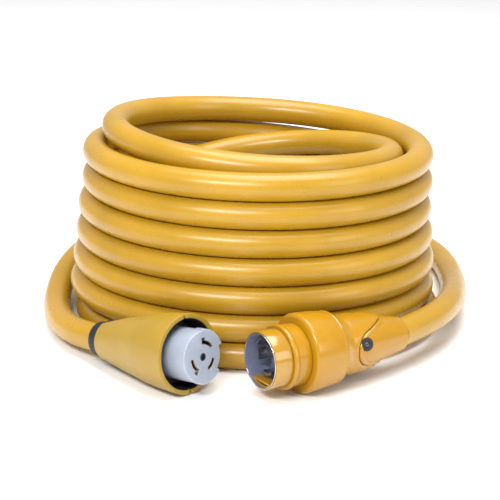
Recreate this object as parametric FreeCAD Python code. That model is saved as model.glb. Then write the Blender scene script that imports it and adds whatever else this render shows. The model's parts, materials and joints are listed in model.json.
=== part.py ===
"""Coiled 50 A shore power cord: a jaw-clamp connector, a moulded locking plug, and the cord between them.

Every size is in millimetres, +Z is up, and the cord lies on the plane z = 0. The coil is drawn round the
Z axis. Each end is drawn along its own local +Z axis (X across, Y up) and then laid beside the coil:
the connector's local Z points out of its mouth, and the plug's points back towards the cord, so that
the two ends share one contact layout. At the end everything moves so that the origin is under the
centre of the object's box.
"""
import FreeCAD, Part

import os
from math import cos, degrees, hypot, pi, radians, sin, tan

from FreeCAD import Matrix, Placement, Vector

# ---- cord -------------------------------------------------------------------------------------------
CORD_D = 26.0                  # outside diameter of the jacket
COIL_LEVELS = 7                # turns that lie one on another in the outer wall of the coil
COIL_BASE_R = 168.6            # centreline radius of the lowest turn
COIL_TOP_R = 158.6             # centreline radius of the highest turn of the wall
COIL_INNER_R = 116.0           # radius of the clear middle of the coil
CREST_R = 136.0                # centreline radius of the turn that lies on top
CREST_TOP = 205.0              # height of the top of that turn

# Route of the cord from the plug to where it slips under the coil's wall.
PLUG_TAIL = [
    (131, -165.5, 36), (164, -126, 36), (190, -63, 33), (202, 8, 24), (208, 80, 15.5), (207, 150, 13.5),
    (190, 218, 13), (148, 274, 13), (86, 307, 13), (16, 309, 13), (-49, 284, 13), (-104, 240, 13),
    (-145, 184, 13), (-166, 119, 13), (-167, 60, 13)]
# Route from the inside of the coil, out through its back and over the other tail, to the connector.
CONNECTOR_TAIL = [
    (18, 163, 16), (-38, 176, 24), (-94, 169, 34), (-142, 141, 41.5), (-175, 99, 39), (-192, 52, 30),
    (-197, 8, 20.5), (-195, -36, 15.5), (-187.5, -76, 15.5), (-175, -111, 17.5), (-156, -140, 20.5),
    (-139.2, -157, 22.9)]
ARC_SHARE = 0.45               # share of the shorter run that each arc of a tail takes

# ---- contact layout, shared by both ends --------------------------------------------------------------
CONTACT_R = 12.8               # radius of the circle that the curved contacts lie on
# name: middle angle, half the angle it spans, has a hooked end
LAYOUT = {"x": (210.0, 32.0, True), "y": (60.0, 31.5, True), "neutral": (318.0, 25.0, False)}
GROUND_ANGLE = 348.5
GROUND_HALF = 26.0
BLADE_T = 2.2                  # thickness of a plug blade
SLOT_GAP = 0.8                 # clearance on each side of a blade in its slot
HOOK_L = 3.4                   # how far a hooked end turns outward
WIRE_R = 3.1                   # insulated conductor
STRAND_R = 2.3                 # its bared end
BUNDLE_R = 5.2                 # centre radius of the four conductors inside the jacket
# name: angle in the bundle, angle of its terminal
WIRES = {"x": (210.0, 210.0), "y": (120.0, 60.0), "neutral": (300.0, 300.0), "ground": (30.0, 355.0)}
BARREL_R = 4.6                 # terminal barrel
BARREL_L = 12.0
BARREL_FIT = 0.1               # clearance round the bared end in its barrel
TERMINAL_SCREW_R = 1.6

# ---- connector ----------------------------------------------------------------------------------------
CONN_RIM = (-57.4, -234.3)     # middle of the mouth, from above
CONN_HEADING = (0.727, -0.687)
CONN_TILT = 6.9                # degrees by which the mouth points up
JAW_L = 103.0                  # from the back of the jaws to the mouth
JAW_R = 36.0                   # outside radius at the mouth
JAW_WALL = 4.3                 # wall at the mouth
JAW_BACK_WALL = 2.6            # wall at the back, where the hand squeezes
PIVOT_Z = 36.0                 # hinge axis, from the back of the jaws
JAW_TRAVEL = 3.5               # degrees that each jaw opens
WEDGE = 9.5                    # half angle of the gap between the jaws behind the hinge, in degrees
SEAM = 0.3                     # gap between the two closed jaws
MOVING_GAP = 0.5               # clearance between a jaw and the fixed body
# share of the length, and the half width and half height there as shares of JAW_R
JAW_FORM = [(0.0, 0.53, 0.49), (0.07, 0.565, 0.53), (0.17, 0.62, 0.59), (0.326, 0.705, 0.70),
            (0.477, 0.80, 0.80), (0.62, 0.885, 0.885), (0.808, 0.955, 0.955), (1.0, 1.0, 1.0)]
NOTCH = 2.4                    # width of the small notch that the seam has at the rim
KNUCKLE_R = 4.5
KNUCKLE_T = 1.8
KNUCKLE_TOP = 19.0             # height of the outer knuckle's face above the axis
PIVOT_HALF = 11.8              # half height of the fixed body where the springs sit
HINGE_PIN_R = 1.5
HINGE_FIT = 0.06               # radial clearance of the pins in the knuckles
INSERT_R = 23.3                # contact insert
BUSH_R = 3.6                   # bush in the insert's centre hole
CENTRE_SCREW_R = 2.2
INSERT_PROUD = 19.0            # how far its face stands out of the mouth
INSERT_SEAT_Z = 71.0           # back of the insert, on its ledge in the fixed body
CAVITY_FLOOR_Z = 79.0          # floor of the ring-shaped space round the insert
LUG_STEP = 1.2                 # how far the key lugs stand above the insert
LUG_L = 9.0
COLLAR_R = 16.0                # grip ring round the cord, behind the jaws
COLLAR_L = 10.5
REAR_GAP = 1.8                 # from the collar to the back of the jaws, which swings towards it
BUNDLE_FIT = 0.5               # clearance round the bundle of conductors

# ---- plug ---------------------------------------------------------------------------------------------
PLUG_RIM = (5.0, -247.0)       # middle of the mouth, from above
PLUG_HEADING = (0.84, 0.545)   # from the mouth back to the cord
PLUG_ROLL = 51.0               # turn of the contact layout about the plug's own axis
SHELL_R = 25.0                 # outside of the metal shell
SHELL_WALL = 1.1
SHELL_L = 42.0
SLEEVE_R = SHELL_R + 1.0       # the sleeve's outside
SLEEVE_L = 18.5
LIP = 0.8                      # bare metal at the mouth
BEAD_R = SHELL_R + 4.2         # bead behind the sleeve
BEAD_L = 4.0
NECK_R = SHELL_R + 3.0         # between the bead and the flange
FLANGE_Z = 37.5                # front of the gripping body
FLANGE_R = SHELL_R + 11.0
PLUG_AXIS_Z = FLANGE_R         # the plug lies on its flange
RIDGE_Z = 72.5                 # where the barrel ends and the waist begins
RIDGE_R = SHELL_R + 8.2
WAIST_R = SHELL_R + 1.5
GRIP_END_Z = 152.0
GRIP_END_R = 15.4
TAPER_Z = 118.0                # where the grip begins to narrow quickly
NOSE_Z = 88.0                  # tip of the tongue that the rear grip sends forward
NOSE_R = 11.0                  # round end of that tongue
SHOULDER_Z = 124.0             # where the tongue has widened into the whole grip
PLUG_BARREL_Z = 70.0           # cord side of the terminal barrels
CARRIER_BACK_Z = SHELL_L + 8   # back of the blade carrier
GROUND_OUT = SHELL_R - SHELL_WALL - 3.0   # outside of the ground blade
GROUND_T = 1.3                 # its thickness
RIVET_R = SHELL_R - 5.8        # radius of the circle that the carrier's screws stand on
KEY_TOP = SHELL_R - 6.4        # flat top of the polarity key, below the axis
KEY_WALL = 1.2
CARRIER_FACE_Z = 22.0
BLADE_TIP_Z = 7.0
INDICATOR_Z = 97.0
INDICATOR_R = 6.1
LENS_R = 2.7
LENS_SEAT = 22.0               # where the lamp ends and the lens begins, from the plug's axis
LAMP_SEAT = 19.0
LAMP_R = 1.5
BEZEL_BACK = 17.2
BEZEL_FACE = WAIST_R + 0.2     # just proud of the tongue
INDICATOR_LIFT = 11.0          # degrees above the horizontal, on the outer side

TOUCH = 0.02                   # gap that keeps pieces of one body apart where they only touch

nodes = {}


# ---- shapes -------------------------------------------------------------------------------------------
def cylinder(r, z0, z1, x=0.0, y=0.0):
    return Part.makeCylinder(r, z1 - z0, Vector(x, y, z0), Vector(0, 0, 1))


def ring(r_out, r_in, z0, z1):
    return cylinder(r_out, z0, z1).cut(cylinder(r_in, z0 - 1, z1 + 1))


def revolve(profile):
    """Turn a closed outline of (radius, z) points about the local Z axis."""
    points = [Vector(r, 0, z) for r, z in profile]
    face = Part.Face(Part.makePolygon(points + points[:1]))
    return face.revolve(Vector(0, 0, 0), Vector(0, 0, 1), 360)


def polar(r, angle, z=0.0):
    a = radians(angle)
    return Vector(r * cos(a), r * sin(a), z)


def sector(r_in, r_out, a0, a1, z0, z1):
    """A curved bar: the part of a ring between two angles in degrees."""
    mid = (a0 + a1) / 2
    edges = [Part.Arc(polar(r_out, a0, z0), polar(r_out, mid, z0), polar(r_out, a1, z0)).toShape(),
             Part.LineSegment(polar(r_out, a1, z0), polar(r_in, a1, z0)).toShape(),
             Part.Arc(polar(r_in, a1, z0), polar(r_in, mid, z0), polar(r_in, a0, z0)).toShape(),
             Part.LineSegment(polar(r_in, a0, z0), polar(r_out, a0, z0)).toShape()]
    return Part.Face(Part.Wire(edges)).extrude(Vector(0, 0, z1 - z0))


def ellipse_wire(a, b, z):
    """Closed smooth curve through points of an ellipse, all starting on +Y so that lofts stay untwisted."""
    curve = Part.BSplineCurve()
    steps = 16
    points = [Vector(-a * sin(2 * pi * i / steps), b * cos(2 * pi * i / steps), z) for i in range(steps)]
    curve.interpolate(Points=points, PeriodicFlag=True)
    return Part.Wire(curve.toShape())


def blend(points, z):
    """Value at z of a smooth curve through (z, value) points that never overshoots them."""
    slopes = [(b[1] - a[1]) / (b[0] - a[0]) for a, b in zip(points, points[1:])]
    tangents = [slopes[0]]
    for left, right in zip(slopes, slopes[1:]):
        tangents.append(0.0 if left * right <= 0 else 2 * left * right / (left + right))
    tangents.append(slopes[-1])
    i = max(n for n in range(len(slopes)) if points[n][0] <= z or n == 0)
    (z0, v0), (z1, v1) = points[i], points[i + 1]
    t = (z - z0) / (z1 - z0)
    return ((1 + 2 * t) * (1 - t) ** 2 * v0 + t * t * (3 - 2 * t) * v1
            + (z1 - z0) * t * (1 - t) * ((1 - t) * tangents[i] - t * tangents[i + 1]))


def loft(half_sizes, z0, z1, step=5.0):
    """Smooth solid whose half width and half height at z are half_sizes(z)."""
    count = max(3, round((z1 - z0) / step))
    levels = [z0 + (z1 - z0) * i / count for i in range(count + 1)]
    return Part.makeLoft([ellipse_wire(*half_sizes(z), z) for z in levels], True, False)


def prism_y(outline, half):
    """Extrude an (x, z) outline along Y, by half each way."""
    points = [Vector(x, -half, z) for x, z in outline]
    return Part.Face(Part.makePolygon(points + points[:1])).extrude(Vector(0, 2 * half, 0))


def turned_z(shape, angle):
    copy = shape.copy()
    copy.rotate(Vector(0, 0, 0), Vector(0, 0, 1), angle)
    return copy


def cord_wire(route, label=""):
    """Straight runs joined by tangent arcs, each as large as its two runs allow."""
    points = [Vector(*p) for p in route]
    edges = []
    last = points[0]
    radii = []
    for before, corner, after in zip(points, points[1:], points[2:]):
        back = before - corner
        onward = after - corner
        turn = pi - back.getAngle(onward)
        reach = ARC_SHARE * min(back.Length, onward.Length)
        radii.append(reach / tan(turn / 2))
        start = corner + back.normalize() * reach
        end = corner + onward.normalize() * reach
        inward = (back + onward).normalize()
        middle = corner + inward * (radii[-1] / cos(turn / 2) - radii[-1])
        edges.append(Part.LineSegment(last, start).toShape())
        edges.append(Part.Arc(start, middle, end).toShape())
        last = end
    edges.append(Part.LineSegment(last, points[-1]).toShape())
    if label:
        print(label, "arc radii:", [round(r) for r in radii])
    return Part.Wire(edges)


def tube(route, radius, label=""):
    path = cord_wire(route, label)
    start = Vector(*route[0])
    along = Vector(*route[1]) - start
    section = Part.Wire(Part.Circle(start, along, radius).toShape())
    solid = path.makePipeShell([section], True, False)
    if label:
        ratio = solid.Volume / (pi * radius ** 2 * path.Length)
        print(label, "volume over section times length:", round(ratio, 4))
    return solid


def placed(shape, origin, forward):
    """Move a shape from its local frame: local Z goes along forward, and local Y stays nearly upright."""
    z_axis = Vector(*forward).normalize()
    x_axis = Vector(0, 0, 1).cross(z_axis).normalize()
    y_axis = z_axis.cross(x_axis)
    m = Matrix(x_axis.x, y_axis.x, z_axis.x, origin[0],
               x_axis.y, y_axis.y, z_axis.y, origin[1],
               x_axis.z, y_axis.z, z_axis.z, origin[2], 0, 0, 0, 1)
    copy = shape.copy()
    copy.Placement = Placement(m).multiply(copy.Placement)
    return copy


# ---- the cord -----------------------------------------------------------------------------------------
def coil_solid():
    """Outer shape of the whole coil: a wall of stacked turns that leans in, with one turn lying on top."""
    r = CORD_D / 2
    wall_top = CORD_D * COIL_LEVELS
    waist = (COIL_BASE_R + COIL_TOP_R) / 2 + r
    outline = [Vector(COIL_INNER_R, 0, 0), Vector(COIL_BASE_R + r - 3, 0, 0),
               Vector(COIL_BASE_R + r, 0, r), Vector(waist, 0, wall_top / 2),
               Vector(COIL_TOP_R + r, 0, wall_top - r), Vector(COIL_TOP_R + r - 5, 0, wall_top - 2),
               Vector(CREST_R + r, 0, CREST_TOP - r + 2)]
    crest = Part.Arc(outline[-1], Vector(CREST_R, 0, CREST_TOP), Vector(CREST_R - r, 0, CREST_TOP - r))
    close = [Vector(CREST_R - r, 0, CREST_TOP - r), Vector(COIL_INNER_R, 0, wall_top - r), outline[0]]
    edges = [Part.LineSegment(a, b).toShape() for a, b in zip(outline, outline[1:])]
    edges.append(crest.toShape())
    edges += [Part.LineSegment(a, b).toShape() for a, b in zip(close, close[1:])]
    return Part.Face(Part.Wire(edges)).revolve(Vector(0, 0, 0), Vector(0, 0, 1), 360)


def make_cord():
    nodes["cord_coil"] = coil_solid()
    nodes["cord_tail_plug"] = tube(PLUG_TAIL, CORD_D / 2, "plug tail")
    nodes["cord_tail_connector"] = tube(CONNECTOR_TAIL, CORD_D / 2, "connector tail")


def butt(tail, origin, forward, face_z, side):
    """Trim a tail flush with the end face that it meets. side is where the cord lies along local Z."""
    far = 60.0
    low = face_z - far if side > 0 else face_z
    beyond = Part.makeBox(2 * far, 2 * far, far, Vector(-far, -far, low))
    nodes[tail] = nodes[tail].cut(placed(beyond, origin, forward))


# ---- contacts and wires, drawn in the shared local frame --------------------------------------------------
def curved_contact(name, half_t, z0, z1, hook=0.0):
    """A curved bar on the contact circle, with its hooked end if the layout gives it one."""
    mid, half, hooked = LAYOUT[name]
    shape = sector(CONTACT_R - half_t, CONTACT_R + half_t, mid - half, mid + half, z0, z1)
    if hooked and hook:
        thick = degrees(2 * half_t / CONTACT_R)
        end = mid + half
        shape = shape.fuse(sector(CONTACT_R, CONTACT_R + hook, end - thick, end, z0, z1)).removeSplitter()
    return shape


def barrel(name, z_back, sign):
    """Terminal barrel with its wire hole and its screw hole. sign is the way the cord lies."""
    angle = WIRES[name][1]
    centre = polar(CONTACT_R, angle)
    z0, z1 = sorted((z_back, z_back - sign * BARREL_L))
    body = cylinder(BARREL_R, z0, z1, centre.x, centre.y)
    hole_end = z_back - sign * (BARREL_L - 2)
    h0, h1 = sorted((z_back + sign, hole_end))
    body = body.cut(cylinder(STRAND_R + BARREL_FIT, h0, h1, centre.x, centre.y))
    return body.cut(terminal_screw(name, z_back, sign, TOUCH))


def terminal_screw(name, z_back, sign, grow=0.0):
    """A screw that comes down on the bared wire from the outside of its barrel."""
    angle = WIRES[name][1]
    z = z_back - sign * BARREL_L / 2
    inner = CONTACT_R + STRAND_R + BARREL_FIT + 0.05 - grow
    start = polar(inner, angle, z)
    return Part.makeCylinder(TERMINAL_SCREW_R + grow, BARREL_R - STRAND_R + 0.4, start, polar(1, angle))


def wire(name, z_cord, z_straight, z_back, sign):
    """One conductor: straight in the jacket, slanting out to its terminal, with a bared end in the barrel."""
    inner, outer = WIRES[name]
    near = polar(BUNDLE_R, inner)
    far = polar(CONTACT_R, outer)
    lead = sign * 6.0
    route = [(near.x, near.y, z_cord), (near.x, near.y, z_straight),
             (far.x, far.y, z_back + lead), (far.x, far.y, z_back + sign * TOUCH)]
    pieces = []
    for a, b in zip(route, route[1:]):
        a, b = Vector(*a), Vector(*b)
        pieces.append(Part.makeCylinder(WIRE_R, (b - a).Length, a, b - a))
    pieces += [Part.makeSphere(WIRE_R, Vector(*p)) for p in route[1:3]]
    s0, s1 = sorted((z_back + sign, z_back - sign * (BARREL_L - 2.5)))
    pieces.append(cylinder(STRAND_R, s0, s1, far.x, far.y))
    solid = pieces[0]
    for piece in pieces[1:]:
        solid = solid.fuse(piece)
    return solid.removeSplitter()


# ---- the connector ------------------------------------------------------------------------------------
def jaw_half(z, inset=0.0):
    """Half width and half height of the closed jaws at z, less an inset."""
    t = z / JAW_L
    return tuple(JAW_R * blend([(row[0], row[side]) for row in JAW_FORM], t) - inset for side in (1, 2))


def jaw_wall(z):
    return JAW_BACK_WALL + (JAW_WALL - JAW_BACK_WALL) * z / JAW_L


def jaw_side(sign):
    """The space that one jaw may fill: its half, less the wedge that lets the backs close in."""
    wedge = tan(radians(WEDGE)) * (PIVOT_Z + 1)
    wide = JAW_R + 10
    outline = [(sign * SEAM / 2, JAW_L + 1), (sign * SEAM / 2, PIVOT_Z), (sign * (SEAM / 2 + wedge), -1),
               (sign * wide, -1), (sign * wide, JAW_L + 1)]
    return prism_y(outline, wide)


def knuckle(sign, up, level):
    """A lug that reaches across to the hinge pin under the jaw's skin. level 0 is the outer one."""
    height = KNUCKLE_TOP - (level + 1) * KNUCKLE_T - level * MOVING_GAP
    y0 = height if up > 0 else -height - KNUCKLE_T
    disc = Part.makeCylinder(KNUCKLE_R, KNUCKLE_T, Vector(0, y0, PIVOT_Z), Vector(0, 1, 0))
    x0 = 0 if sign > 0 else -JAW_R
    arm = Part.makeBox(JAW_R, KNUCKLE_T, 2 * KNUCKLE_R, Vector(x0, y0, PIVOT_Z - KNUCKLE_R))
    below = Vector(0, y0 - 1, PIVOT_Z)
    hole = Part.makeCylinder(HINGE_PIN_R + HINGE_FIT, KNUCKLE_T + 2, below, Vector(0, 1, 0))
    return disc.fuse(arm), hole


def make_jaw(sign, outer, inner, core):
    shell = outer.cut(inner).common(jaw_side(sign))
    side = 1 if sign > 0 else 0
    for up in (1, -1):
        level = side if up > 0 else 1 - side
        lug, hole = knuckle(sign, up, level)
        shell = shell.fuse(lug.common(core)).cut(hole)
    # a small square notch on the seam, at the top and the bottom of the mouth
    notch = Part.makeBox(NOTCH, 2 * JAW_R + 4, NOTCH, Vector(-NOTCH / 2, -JAW_R - 2, JAW_L - NOTCH))
    uncut = JAW_R - JAW_WALL * 0.75
    notch = notch.cut(Part.makeBox(2 * NOTCH, 2 * uncut, 6, Vector(-NOTCH, -uncut, JAW_L - 4)))
    return shell.cut(notch).removeSplitter()


def insert_face_slots(z_face, z_seat):
    """Slots for the curved blades: narrow at the face, wider behind it for the spring contacts."""
    cuts = []
    for name in LAYOUT:
        mouth = curved_contact(name, BLADE_T / 2 + SLOT_GAP, z_face - 4, z_face + 1, HOOK_L + SLOT_GAP)
        chamber = curved_contact(name, BLADE_T / 2 + SLOT_GAP + 1.3, z_seat - 1, z_face - 4)
        cuts += [mouth, chamber]
    return cuts


def make_insert():
    z_face = JAW_L + INSERT_PROUD
    body = cylinder(INSERT_R, INSERT_SEAT_Z, z_face)
    lug0 = z_face - LUG_L
    for a0, a1 in ((18, 85), (-100, -41)):
        body = body.fuse(sector(INSERT_R - 2, INSERT_R + LUG_STEP, a0, a1, lug0, z_face))
    body = body.removeSplitter()
    rim = [e for e in body.Edges if e.BoundBox.DiagonalLength > 12
           and abs(e.BoundBox.ZMin - z_face) < 1e-6 and abs(e.BoundBox.ZMax - z_face) < 1e-6]
    body = body.makeFillet(0.7, rim)
    recess_in = INSERT_R - 3.0
    body = body.cut(sector(recess_in, INSERT_R + 4, -40, 17.5, lug0 - 4, z_face + 1))
    body = body.cut(sector(recess_in - 1.3, recess_in + 0.1, GROUND_ANGLE - 360 - GROUND_HALF + 8,
                           GROUND_ANGLE - 360 + GROUND_HALF - 8, INSERT_SEAT_Z - 1, z_face - 1.5))
    for cut in insert_face_slots(z_face, INSERT_SEAT_Z):
        body = body.cut(cut)
    body = body.cut(cylinder(BUSH_R, z_face - 6, z_face + 1))
    body = body.cut(cylinder(CENTRE_SCREW_R, INSERT_SEAT_Z - 1, z_face))
    return body.removeSplitter()


def spring_contact(name, z_face, z_seat):
    """A curved channel that grips a blade from both sides, with a tab back to its terminal barrel."""
    mid, half, _ = LAYOUT[name]
    leaf = 0.8
    inner = BLADE_T / 2 + SLOT_GAP - 0.3
    trim = 3.0
    z0, z1 = z_seat + 14, z_face - 5
    out = sector(CONTACT_R + inner, CONTACT_R + inner + leaf, mid - half + trim, mid + half - trim, z0, z1)
    inside = sector(CONTACT_R - inner - leaf, CONTACT_R - inner, mid - half + trim, mid + half - trim, z0, z1)
    base = sector(CONTACT_R - inner - leaf, CONTACT_R + inner + leaf, mid - half + trim, mid + half - trim,
                  z0 - 1.2, z0)
    tab_mid = WIRES[name][1]
    reach = min(max(tab_mid, mid - half + trim + 8), mid + half - trim - 8)
    tab = sector(CONTACT_R - 1, CONTACT_R + 1, reach - 8, reach + 8, z_seat - 1.5, z0 - 0.5)
    foot = sector(CONTACT_R - 1, CONTACT_R + 1, min(reach, tab_mid) - 8, max(reach, tab_mid) + 8,
                  z_seat - 2.5, z_seat - 0.6)
    shape = out.fuse([inside, base, tab, foot, barrel(name, z_seat - 2 - BARREL_L, -1)])
    return shape.removeSplitter()


def ground_strip(z_face, z_seat):
    """A flat curved strip in the recess of the insert's edge, with its terminal behind."""
    recess = INSERT_R - 3.0
    mid = GROUND_ANGLE - 360
    half = GROUND_HALF - 9
    strip = sector(recess - 1.0, recess, mid - half, mid + half, z_seat - 2.5, z_face - 2.5)
    angle = WIRES["ground"][1] - 360
    arm = sector(CONTACT_R, recess - 0.5, angle - 6, angle + 6, z_seat - 2.5, z_seat - 0.6)
    return strip.fuse([arm, barrel("ground", z_seat - 2 - BARREL_L, -1)]).removeSplitter()


def make_inner_body():
    """The fixed black body that carries the insert, the hinge pins and the cord's collar."""
    front = CAVITY_FLOOR_Z - 14
    spread = front - 12        # where the body has widened to hold the insert
    skin = [jaw_half(z, jaw_wall(z) + MOVING_GAP)[0] for z in (front, CAVITY_FLOOR_Z)]
    back = -REAR_GAP
    rear = 12.4
    widths = [(back, rear), (14, rear + 0.8), (PIVOT_Z - 8, 15.8), (PIVOT_Z + 6, 18.6), (spread, 23.2),
              (front, skin[0]), (CAVITY_FLOOR_Z, skin[1])]
    heights = [(back, rear), (14, PIVOT_HALF + 0.2), (PIVOT_Z - 8, PIVOT_HALF), (PIVOT_Z + 6, PIVOT_HALF),
               (spread, 22.0), (front, skin[0]), (CAVITY_FLOOR_Z, skin[1])]
    body = loft(lambda z: (blend(widths, z), blend(heights, z)), back, CAVITY_FLOOR_Z)
    bundle = BUNDLE_R + WIRE_R + BUNDLE_FIT
    chamber = max(INSERT_R - 2.6, CONTACT_R + BARREL_R + 1.2)
    hollow = revolve([(0, back - 2), (bundle, back - 2), (bundle, PIVOT_Z + 2), (chamber, spread + 2),
                      (chamber, INSERT_SEAT_Z), (0, INSERT_SEAT_Z)])
    body = body.cut(hollow).cut(cylinder(INSERT_R + TOUCH, INSERT_SEAT_Z, CAVITY_FLOOR_Z + 2))
    for up in (1, -1):
        pin = Part.makeCylinder(HINGE_PIN_R, 30, Vector(0, 0, PIVOT_Z), Vector(0, up, 0))
        body = body.cut(pin)
    return body.removeSplitter()


def hinge_pins():
    top = KNUCKLE_TOP + 0.2
    low = BUNDLE_R + WIRE_R + 0.7
    pins = [Part.makeCylinder(HINGE_PIN_R - TOUCH, top - low, Vector(0, up * low, PIVOT_Z), Vector(0, up, 0))
            for up in (1, -1)]
    return Part.makeCompound(pins)


def jaw_springs():
    """Two torsion springs wound round the hinge pins, between the fixed body and the lower knuckle."""
    wire_r = 0.45
    mean_r = 3.0
    turns = 1.7
    pitch = 1.05
    base = PIVOT_HALF + 0.15
    springs = []
    for up in (1, -1):
        helix = Part.makeHelix(pitch, pitch * turns, mean_r)
        start = Part.Wire(Part.Circle(Vector(mean_r, 0, 0), Vector(0, 1, 0), wire_r).toShape())
        spring = Part.Wire(helix.Edges).makePipeShell([start], True, True)
        spring.rotate(Vector(0, 0, 0), Vector(1, 0, 0), -90 if up > 0 else 90)
        spring.translate(Vector(0, up * (base + wire_r), PIVOT_Z))
        springs.append(spring)
    return Part.makeCompound(springs)


def make_connector():
    tilt = radians(CONN_TILT)
    forward = (CONN_HEADING[0] * cos(tilt), CONN_HEADING[1] * cos(tilt), sin(tilt))
    length = hypot(*CONN_HEADING)
    forward = (forward[0] / length, forward[1] / length, forward[2])
    rest = max(jaw_half(z)[1] * cos(tilt) + (JAW_L - z) * sin(tilt) for z in range(int(JAW_L) + 1))
    rim = (CONN_RIM[0], CONN_RIM[1], rest)
    origin = [rim[i] - JAW_L * forward[i] for i in range(3)]

    outer = loft(jaw_half, 0, JAW_L)
    core = loft(lambda z: jaw_half(z, 0.6), 0, JAW_L)
    inner = loft(lambda z: jaw_half(min(max(z, 0), JAW_L), jaw_wall(min(max(z, 0), JAW_L))), -1, JAW_L + 1)
    z_face = JAW_L + INSERT_PROUD
    barrel_back = INSERT_SEAT_Z - 2 - BARREL_L
    collar_front = -REAR_GAP - TOUCH
    collar_back = collar_front - COLLAR_L
    bore = BUNDLE_R + WIRE_R + BUNDLE_FIT + 0.1
    seal_r = JAW_R - JAW_WALL - MOVING_GAP - 2.0
    local = {
        "jaw_near": make_jaw(-1, outer, inner, core),
        "jaw_far": make_jaw(1, outer, inner, core),
        "inner_body": make_inner_body(),
        "hinge_pins": hinge_pins(),
        "jaw_springs": jaw_springs(),
        "receptacle_insert": make_insert(),
        "face_seal": ring(seal_r, INSERT_R + 0.3, CAVITY_FLOOR_Z + TOUCH, CAVITY_FLOOR_Z + 3),
        "rear_collar": revolve([(bore, collar_back), (COLLAR_R - 1, collar_back), (COLLAR_R, collar_back + 1),
                                (COLLAR_R, collar_front - 1), (COLLAR_R - 1, collar_front),
                                (bore, collar_front)]),
        "centre_bush": ring(BUSH_R - TOUCH, CENTRE_SCREW_R + 0.1, z_face - 5, z_face - 0.6),
        "centre_screw": cylinder(CENTRE_SCREW_R - TOUCH, INSERT_SEAT_Z - 3, z_face - 3),
        "contact_ground": ground_strip(z_face, INSERT_SEAT_Z),
        "terminal_screws": Part.makeCompound([terminal_screw(n, barrel_back, -1) for n in WIRES]),
    }
    for name in LAYOUT:
        local["contact_" + name] = spring_contact(name, z_face, INSERT_SEAT_Z)
    for name in WIRES:
        local["connector_wire_" + name] = wire(name, collar_back + 0.3, PIVOT_Z + 2, barrel_back, -1)
    for name, shape in local.items():
        nodes[name] = placed(shape, origin, forward)
    butt("cord_tail_connector", origin, forward, collar_back - TOUCH, -1)
    axis = placed(Part.makeLine((0, 0, 0), (0, 1, 0)), origin, forward)
    pivot = placed(Part.Vertex(0, 0, PIVOT_Z), origin, forward)
    a, b = [v.Point for v in axis.Vertexes]
    print("hinge axis:", [round(c, 5) for c in (b - a)], "through", [round(c, 3) for c in pivot.Point])
    print("connector forward:", [round(c, 5) for c in forward])
    print("back of jaws:", [round(c, 3) for c in origin])


# ---- the plug -----------------------------------------------------------------------------------------
def plug_outside():
    """Outer form of the gripping body, from its flange to where the cord comes out."""
    widths = [(FLANGE_Z, FLANGE_R - 0.4), (FLANGE_Z + 2, FLANGE_R), (FLANGE_Z + 14, FLANGE_R - 0.6),
              (RIDGE_Z - 8, RIDGE_R + 0.8), (RIDGE_Z, RIDGE_R - 0.8), (RIDGE_Z + 11, WAIST_R + 1.2),
              (RIDGE_Z + 26, WAIST_R - 0.4), (TAPER_Z, WAIST_R - 4.0), (GRIP_END_Z - 16, GRIP_END_R + 3.2),
              (GRIP_END_Z, GRIP_END_R)]
    return loft(lambda z: (blend(widths, z), blend(widths, z)), FLANGE_Z, GRIP_END_Z)


def tongue():
    """Side outline of the rear grip: a rounded tongue that widens into the whole section."""
    wide = FLANGE_R + 4
    top = Vector(0, NOSE_R * 0.94, NOSE_Z + NOSE_R * 0.66)
    low = Vector(0, -top.y, top.z)
    flank = Vector(0, 16.0, NOSE_Z + 2 * NOSE_R)
    nose = Part.Arc(low, Vector(0, 0, NOSE_Z), top)
    edges = [nose.toShape()]
    flank_top = Part.Arc(top, flank, Vector(0, wide, SHOULDER_Z))
    flank_low = Part.Arc(Vector(0, -wide, SHOULDER_Z), Vector(0, -flank.y, flank.z), low)
    end = GRIP_END_Z + 2
    edges.append(flank_top.toShape())
    corners = [Vector(0, *c) for c in ((wide, SHOULDER_Z), (wide, end), (-wide, end), (-wide, SHOULDER_Z))]
    edges += [Part.LineSegment(a, b).toShape() for a, b in zip(corners, corners[1:])]
    edges.append(flank_low.toShape())
    face = Part.Face(Part.Wire(Part.__sortEdges__(edges)))
    face.translate(Vector(-wide, 0, 0))
    return face.extrude(Vector(2 * wide, 0, 0))


def indicator_axis():
    """A point on the plug's axis and the direction in which the indicator looks out."""
    return Vector(0, 0, INDICATOR_Z), polar(1, 180 - INDICATOR_LIFT)


def radial_cylinder(r, inner, outer):
    centre, out = indicator_axis()
    return Part.makeCylinder(r, outer - inner, centre + out * inner, out)


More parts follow.
